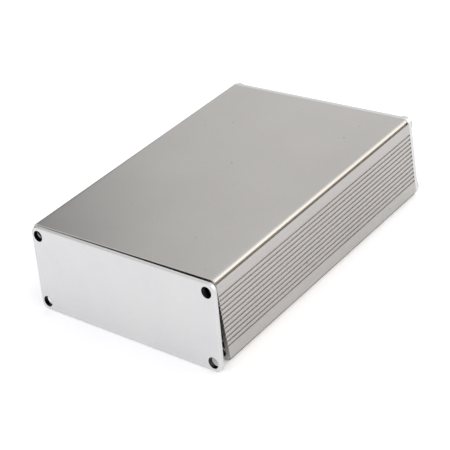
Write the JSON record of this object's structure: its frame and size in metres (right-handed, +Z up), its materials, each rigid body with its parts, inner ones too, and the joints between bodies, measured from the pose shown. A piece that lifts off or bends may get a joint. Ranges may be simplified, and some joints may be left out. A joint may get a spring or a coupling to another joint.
{
  "type": "extruded aluminium enclosure",
  "caption": "Empty ribbed aluminium instrument case: a one-piece extruded tube with a screwed rear plate and a loose front plate leaning on its open end.",
  "frame": {"origin": "middle of the tube's underside, on the surface it stands on", "axes": "+X to the right seen from the front, +Y from the open front end to the rear plate, +Z up"},
  "size_m": [0.0749, 0.1092, 0.0286],
  "materials": {
    "tube": "clear anodised over a fine satin blast",
    "plate": "clear anodised, fine matt",
    "screw": "bright zinc on steel"
  },
  "bodies": {
    "root": {"body": "tube", "front_plate": "plate", "rear_plate": "plate", "rear_screws": "screw"}
  },
  "joints": []
}
